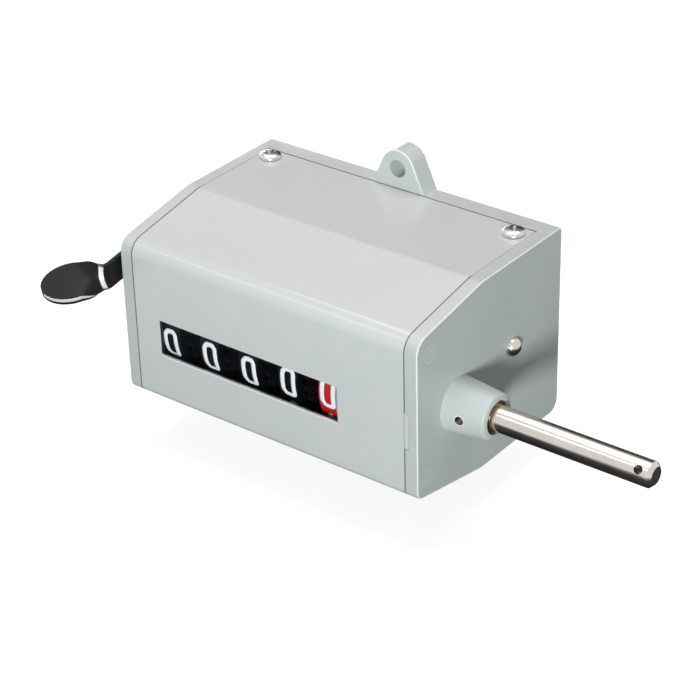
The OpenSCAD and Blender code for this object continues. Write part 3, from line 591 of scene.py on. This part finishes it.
def pad_across(u):
    """The direction across the lever's strip, u mm past the bend."""
    lean = math.radians(LEAN * math.sin(math.pi / 2 * min(1, max(0, u / TWIST_LENGTH))))
    return PAD_WAY.cross((0, 0, 1)) * math.sin(lean) + Vector((0, 0, math.cos(lean)))


def across_twist(a, b):
    """An edge that crosses the twisted neck, where the strip's two sides meet at steep triangles."""
    on_neck = all(NECK_FROM < (p - BEND_END).dot(PAD_WAY) < NECK_TO for p in (a, b))
    return on_neck and (a - b).length > STRIP_ACROSS


lever = rounded_copy("thumb_lever", "reset_lever", "rocker", dark, 0.2, 40, 3,
                     pick=lambda a, b: True, soft=across_twist)
# corner numbers for the rim's painted highlight
rims = lever.data.attributes.new("rim", "FLOAT", "CORNER")
for face in lever.data.polygons:
    u = (face.center / MM - BEND_END).dot(PAD_WAY)
    if u > RIM_FROM and (abs(face.normal.dot(pad_across(u))) > NARROW_SIDE or u > PAD_TIP):
        for corner in face.loop_indices:
            point = lever.data.vertices[lever.data.loops[corner].vertex_index].co / MM - BEND_END
            upper = pad_across(point.dot(PAD_WAY)).cross(PAD_WAY)
            # the upper half of the rim gets the painted highlight, the lower half stays dark
            rims.data[corner].value = 1.0 if point.dot(upper) > 0 else 0.0
# counts the corners that carry the rim's painted highlight
print("worn corners", sum(r.value > 0 for r in rims.data))

# %% [markdown]
# A nut holds the lever, a clear pane closes the window, and five wheels stand behind it, the units in red.
# Each is a whole CAD shape, so the same rounded copy serves, with a width that suits its edges.

# %% Nut, pane and wheels
rounded_copy("hex_nut", "lever_nut", "rocker", plate, 0.2)
rounded_copy("window_pane", "window_lens", "frame", pane, 0.1)
rounded_copy("wheel_1", "number_wheel_1", "wheel_1", red_plastic, 0.12)
for k in range(2, 6):
    rounded_copy(f"wheel_{k}", f"number_wheel_{k}", f"wheel_{k}", black_plastic, 0.12)


# %% [markdown]
# The cover is held by four pan-head screws with a cross recess. The head is a profile spun round the screw's
# axis. Cutting the recess by hand would need many faces, so a tapered cross is made and taken away with
# a Boolean modifier, whose result becomes the mesh. Four copies go to their places.

# %% Mesh helpers
def mesh_of(name, shape, finish=None):
    """The mesh of a bmesh, which is let go."""
    mesh = bpy.data.meshes.new(name)
    shape.to_mesh(mesh)
    shape.free()
    if finish:
        mesh.materials.append(finish.material)
    return mesh


def rotate(shape, verts, degrees, axis):
    """Turn some points round an axis through the origin."""
    matrix = Matrix.Rotation(math.radians(degrees), 3, axis)
    bmesh.ops.rotate(shape, verts=verts, cent=(0, 0, 0), matrix=matrix)


def final_mesh(piece):
    """What the modifiers of an object give, as a mesh. The object is taken away."""
    mesh = bpy.data.meshes.new_from_object(piece.evaluated_get(bpy.context.evaluated_depsgraph_get()))
    bpy.data.objects.remove(piece)
    return mesh


# %% Screw head and cross
PROFILE = [(0, -7), (1.35, -7), (1.5, -6.8), (1.5, 0), (2.6, 0), (2.7, 0.15), (2.7, 0.55), (2.62, 0.85),
           (2.4, 1.1), (2.0, 1.3), (1.4, 1.43), (0.7, 1.49), (0, 1.5)]
BLADE, RECESS_Z = (3.4, 0.75, 1.6), 1.4
head = bmesh.new()
points = [head.verts.new((r * MM, 0, z * MM)) for r, z in PROFILE]
lines = [head.edges.new(pair) for pair in zip(points, points[1:])]
bmesh.ops.spin(head, geom=points + lines, axis=(0, 0, 1), cent=(0, 0, 0),
               angle=math.tau, steps=48, use_merge=True)
bmesh.ops.remove_doubles(head, verts=head.verts, dist=MERGE)
bmesh.ops.recalc_face_normals(head, faces=head.faces)
cross = bmesh.new()
for quarter in (0, 90):
    blade = bmesh.ops.create_cube(cross, size=1)["verts"]
    bmesh.ops.scale(cross, verts=blade, vec=Vector(BLADE) * MM)
    bmesh.ops.scale(cross, verts=[v for v in blade if v.co.z < 0], vec=(0.5, 0.7, 1))
    rotate(cross, blade, quarter, "Z")
bmesh.ops.translate(cross, verts=cross.verts, vec=(0, 0, RECESS_Z * MM))
plain = add("screw_plain", mesh_of("screw_head", head))
cutter = add("screw_cutter", mesh_of("cross_cutter", cross))
cut = plain.modifiers.new("recess", "BOOLEAN")
cut.object = cutter
cut.operation = "DIFFERENCE"
cut.solver = "EXACT"
cut.use_self = True
ready = final_mesh(plain)
bpy.data.objects.remove(cutter)
print("screw", len(ready.polygons), "faces")

# %% Place the screws
SCREW_X, SCREW_Y = 35.1, -9.3
screws = bmesh.new()
for sx, turned in ((-1, -35), (1, 20)):
    for sz in (1, -1):
        one = bmesh.new()
        one.from_mesh(ready)
        rotate(one, one.verts, turned, "Z")
        if sz < 0:
            rotate(one, one.verts, 180, "X")
        spot = Vector((sx * SCREW_X, SCREW_Y, sz * HALF_HEIGHT)) * MM
        bmesh.ops.translate(one, verts=one.verts, vec=spot)
        screw = mesh_of("one_screw", one)
        screws.from_mesh(screw)
        bpy.data.meshes.remove(screw)
shade_smooth(screws, 35)
pan_screws = add("pan_screws", mesh_of("pan_screws", screws, plate))
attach(pan_screws, "frame")
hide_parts("cover_screws")
print("four screws", len(pan_screws.data.polygons), "faces")

# %% [markdown]
# Each wheel carries the ten digits, white and hardly raised. A text object would bring a font with it, so
# a digit is drawn as a path with one stroke width. The path is a curve with a round bevel, which is made
# a mesh, pressed flat and wrapped onto the rim. Counting moves the front of a wheel up, so the next digit
# lies below the one before it.

# %% Digit paths
DIGIT_W, DIGIT_H, STROKE = 4.4, 8.2, 1.35
DIGITS = [
    [(True, [(-0.5, -1), (0.7, -1), (1, -0.85), (1, 0.75), (0.6, 1), (-0.5, 1), (-1, 0.72), (-1, -0.65)])],
    [(False, [(-0.6, 0.33), (0.1, 0.66), (0.1, -1)])],
    [(False, [(-1, 0.55), (-1, 1), (1, 1), (1, 0.1), (-1, -1), (1, -1)])],
    [(False, [(-1, 1), (1, 1), (1, 0.06), (-0.3, 0.06)]),
     (False, [(-0.3, 0.06), (1, 0.06), (1, -1), (-1, -1), (-1, -0.6)])],
    [(False, [(0.5, -1), (0.5, 1), (-1, -0.45), (1, -0.45)])],
    [(False, [(0.9, 1), (-0.9, 1), (-0.9, 0.15), (1, 0.15), (1, -1), (-1, -1), (-1, -0.6)])],
    [(False, [(1, 0.6), (1, 1), (-1, 1), (-1, -1), (1, -1), (1, 0.1), (-0.9, 0.1)])],
    [(False, [(-1, 1), (1, 1), (-0.2, -1)])],
    [(True, [(-0.9, 0.06), (0.9, 0.06), (0.9, 1), (-0.9, 1)]),
     (True, [(-1, -1), (1, -1), (1, 0.06), (-1, 0.06)])],
    [(False, [(-1, -0.4), (-1, -0.74), (1, -0.74), (1, 1), (-1, 1), (-1, 0), (0.9, 0)])],
]
print("paths for", len(DIGITS), "digits")

# %% Digit meshes
CORNER, ALMOST_HALF = 1.9, 0.48


def softened(path, closed):
    """The path with two more points near each corner, so that a curve rounds the corner only."""
    out = []
    count = len(path)
    for i, point in enumerate(path):
        if not closed and i in (0, count - 1):
            out.append(point)
            continue
        for other in (path[i - 1], path[(i + 1) % count]):
            way = other - point
            near = point + way * min(ALMOST_HALF, CORNER / way.length)
            out += [near, point] if other is path[i - 1] else [near]
    return out


def digit_mesh(paths):
    curve = bpy.data.curves.new("digit", "CURVE")
    curve.dimensions = "3D"
    curve.bevel_depth = STROKE / 2
    curve.bevel_resolution = 1
    curve.use_fill_caps = True
    size = Vector(((DIGIT_W - STROKE) / 2, (DIGIT_H - STROKE) / 2))
    for closed, path in paths:
        points = softened([Vector(p) * size for p in path], closed)
        line = curve.splines.new("NURBS")
        line.points.add(len(points) - 1)
        for control, point in zip(line.points, points):
            control.co = (point.x, point.y, 0, 1)
        line.order_u = 3
        line.use_cyclic_u = closed
        line.use_endpoint_u = not closed
        line.resolution_u = 4
    return final_mesh(add("digit", curve))


flat_digits = [digit_mesh(paths) for paths in DIGITS]
print("digits", [len(m.polygons) for m in flat_digits], "faces")

# %% Wrap the digits onto the rims
RIM, PROUD = 13.7, 0.05
UNITS_X, STEP = 16.9, 11.4935
SHOWN_AT = {5: (-0.4, -2.5), 4: (0, -2.15), 3: (0, -2.05), 2: (-0.1, -0.8), 1: (-0.4, 0.25)}
for k, (aside, shown) in SHOWN_AT.items():
    ring = bmesh.new()
    for number, flat in enumerate(flat_digits):
        first = len(ring.verts)
        ring.from_mesh(flat)
        ring.verts.ensure_lookup_table()
        for vert in ring.verts[first:]:
            across, along, height = vert.co
            angle = (shown + along) / RIM - number * math.tau / 10
            radius = RIM + PROUD * height / (STROKE / 2)
            vert.co = Vector((UNITS_X - (k - 1) * STEP + aside + across,
                              SHAFT_Y - radius * math.cos(angle),
                              SHAFT_Z + radius * math.sin(angle))) * MM
    for face in ring.faces:
        face.smooth = True
    bmesh.ops.recalc_face_normals(ring, faces=ring.faces)
    digit_ring = add(f"digits_{k}", mesh_of(f"digits_{k}", ring, digit_paint))
    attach(digit_ring, f"wheel_{k}")
    print(digit_ring.name, len(digit_ring.data.polygons), "faces")

# %% [markdown]
# The return spring is a coil round the reset shaft. One leg sits in the rear wall and the other hooks over
# the rocker, so the coil twists when the lever is pressed. A stiff piece would be left behind. Here the coil
# is a plain steel copy with its place baked into its mesh, and it rides on no body.

# %% Return spring
spring = rounded_copy("coil_spring", "return_spring", None, steel, 0)
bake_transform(spring)

# %% [markdown]
# The gears, pins and arms inside keep their CAD shapes. They only need their finishes, set on the object
# so that the CAD mesh stays as it is.

# %% Inner pieces
INNER = {
    bronze: ["left_bush"],
    brass: ["drive_pinion"],
    white_plastic: ["counter_gear", "units_gear"] + [f"transfer_pinion_{k}" for k in range(1, 5)],
    steel: ["drive_pin", "retaining_ring", "counter_stud", "clutch_washer", "pinion_shaft", "pinion_clips",
            "rocker_arm_left", "rocker_arm_right", "reset_comb", "stop_pin"],
}
for finish, names in INNER.items():
    for name in names:
        for place in nodes[name].material_slots:
            place.link = "OBJECT"
            place.material = finish.material
    print(finish.material.name, names)

# %% [markdown]
# The object is shown on plain white. A strong lamp on the floor would do it, but it would also bleach the
# paint. Instead the floor and the world glow by Light Path, for the camera and for mirrors only, and a
# share of plain paint in the floor keeps the object's shadow.

# %% Floor
FLOOR_HALF, FLOOR_DROP = 4, 0.0005
white = Finish("white_floor")
matte = white.node("ShaderNodeBsdfDiffuse", {}, {"Color": (0.32, 0.32, 0.32, 1)})
glow = white.node("ShaderNodeEmission", {}, {"Color": (1, 1, 1, 1), "Strength": 0.85})
lit = white.node("ShaderNodeAddShader", {}, {0: matte, 1: glow})
white.end("Material Output", white.node("ShaderNodeMixShader", {}, {0: white.seen(), 1: matte, 2: lit}))
floor_shape = bmesh.new()
bmesh.ops.create_grid(floor_shape, x_segments=1, y_segments=1, size=FLOOR_HALF)
bmesh.ops.translate(floor_shape, verts=floor_shape.verts, vec=(0, 0, cad_low.z - FLOOR_DROP))
floor = add("floor", mesh_of("floor", floor_shape, white))
white.show()

# %% World
world = bpy.data.worlds.new("studio")
scene.world = world
world.use_nodes = True
sky = Nodes(world.node_tree)
fill = sky.node("ShaderNodeBackground", {}, {"Color": (0.93, 0.97, 1.0, 1), "Strength": 0.23})
backdrop = sky.node("ShaderNodeBackground", {}, {"Color": (1, 1, 1, 1), "Strength": 1.0})
sky.end("World Output", sky.node("ShaderNodeMixShader", {}, {0: sky.seen(), 1: fill, 2: backdrop}))
print("world", len(sky.tree.nodes), "nodes")


# %% [markdown]
# Soft studio light comes from area lamps: a broad panel above, a small key from the front that grazes the
# right wall and draws the shaft's shadow on it, and a low fill for the back and the left side. A sky picture
# could light it too, but lamps are easier to place and to read.

# %% Lamps
LIT_POINT = Vector((0, -0.03, 0))


def panel(name, where, size, power, colour):
    lamp = bpy.data.lights.new(name, "AREA")
    lamp.shape = "RECTANGLE"
    lamp.size, lamp.size_y = size
    lamp.energy = power
    lamp.color = colour
    aim = (LIT_POINT - Vector(where)).to_track_quat("-Z", "Y")
    add(name, lamp).matrix_world = Matrix.Translation(where) @ aim.to_matrix().to_4x4()
    print(name, power, "W")


panel("top_panel", (-0.10, 0.10, 0.80), (0.6, 0.6), 4.85, (1, 0.975, 0.972))
panel("front_key", (0.50, -0.79, 0.10), (0.16, 0.16), 6.9, (0.975, 1, 0.99))
panel("rear_fill", (-0.75, 0.55, 0.03), (0.5, 0.06), 4.5, (0.985, 1, 0.995))


# %% [markdown]
# Bright metal on plain white looks flat, because it mirrors nothing but white. Photographers set dark cards
# near it. One lies below the object, black in its middle and fading outwards, and one stands behind with
# a grey one above it, in front of which the glossy top shows the lug's pale reflection. A long bright strip
# in front draws the thin line of light on the cover's rounded edge. All of them are seen by mirrors only
# and cast no shadow.

# %% Cards for the metal
BLACK, WHITE = (0, 0, 0, 1), (1, 1, 1, 1)
FADE_X, FADE_Y = 50, -30
CARD_DROP = 0.0002


def card(name, corners, light=0.0, fade=None):
    cloth = Finish(name + "_cloth", Roughness=1.0, Emission_Color=WHITE, Emission_Strength=light)
    cloth.set(Base_Color=cloth.mix(cloth.noise(20), (0.01, 0.01, 0.01, 1), (0.03, 0.03, 0.03, 1)))
    if fade:
        grey = cloth.spread(reach(cloth.axis("X"), FADE_X, cloth.axis("Y"), FADE_Y), *fade)
        cloth.set(Emission_Color=cloth.mix(grey, BLACK, WHITE))
    shape = bmesh.new()
    shape.faces.new([shape.verts.new(c) for c in corners])
    made = add(name, mesh_of(name, shape, cloth))
    made.visible_camera = made.visible_diffuse = made.visible_shadow = made.visible_transmission = False
    cloth.show()


def upright(x0, x1, z0, z1, y=0.25):
    """The corners of a card that stands behind the object."""
    return [(x0, y, z0), (x1, y, z0), (x1, y, z1), (x0, y, z1)]


below = cad_low.z - CARD_DROP
card("card_below", [(-0.4, -0.4, below), (0.5, -0.4, below), (0.5, 0.4, below), (-0.4, 0.4, below)],
     1.0, fade=(100, 260))
card("card_behind", upright(-0.30, 0.02, below, 0.18))
card("card_above", upright(-0.40, 0.02, 0.18, 0.31), 0.2)
card("light_strip", [(-0.9, -0.44, 0.53), (0.1, -0.44, 0.53), (0.1, -0.40, 0.57), (-0.9, -0.40, 0.57)], 5.0)
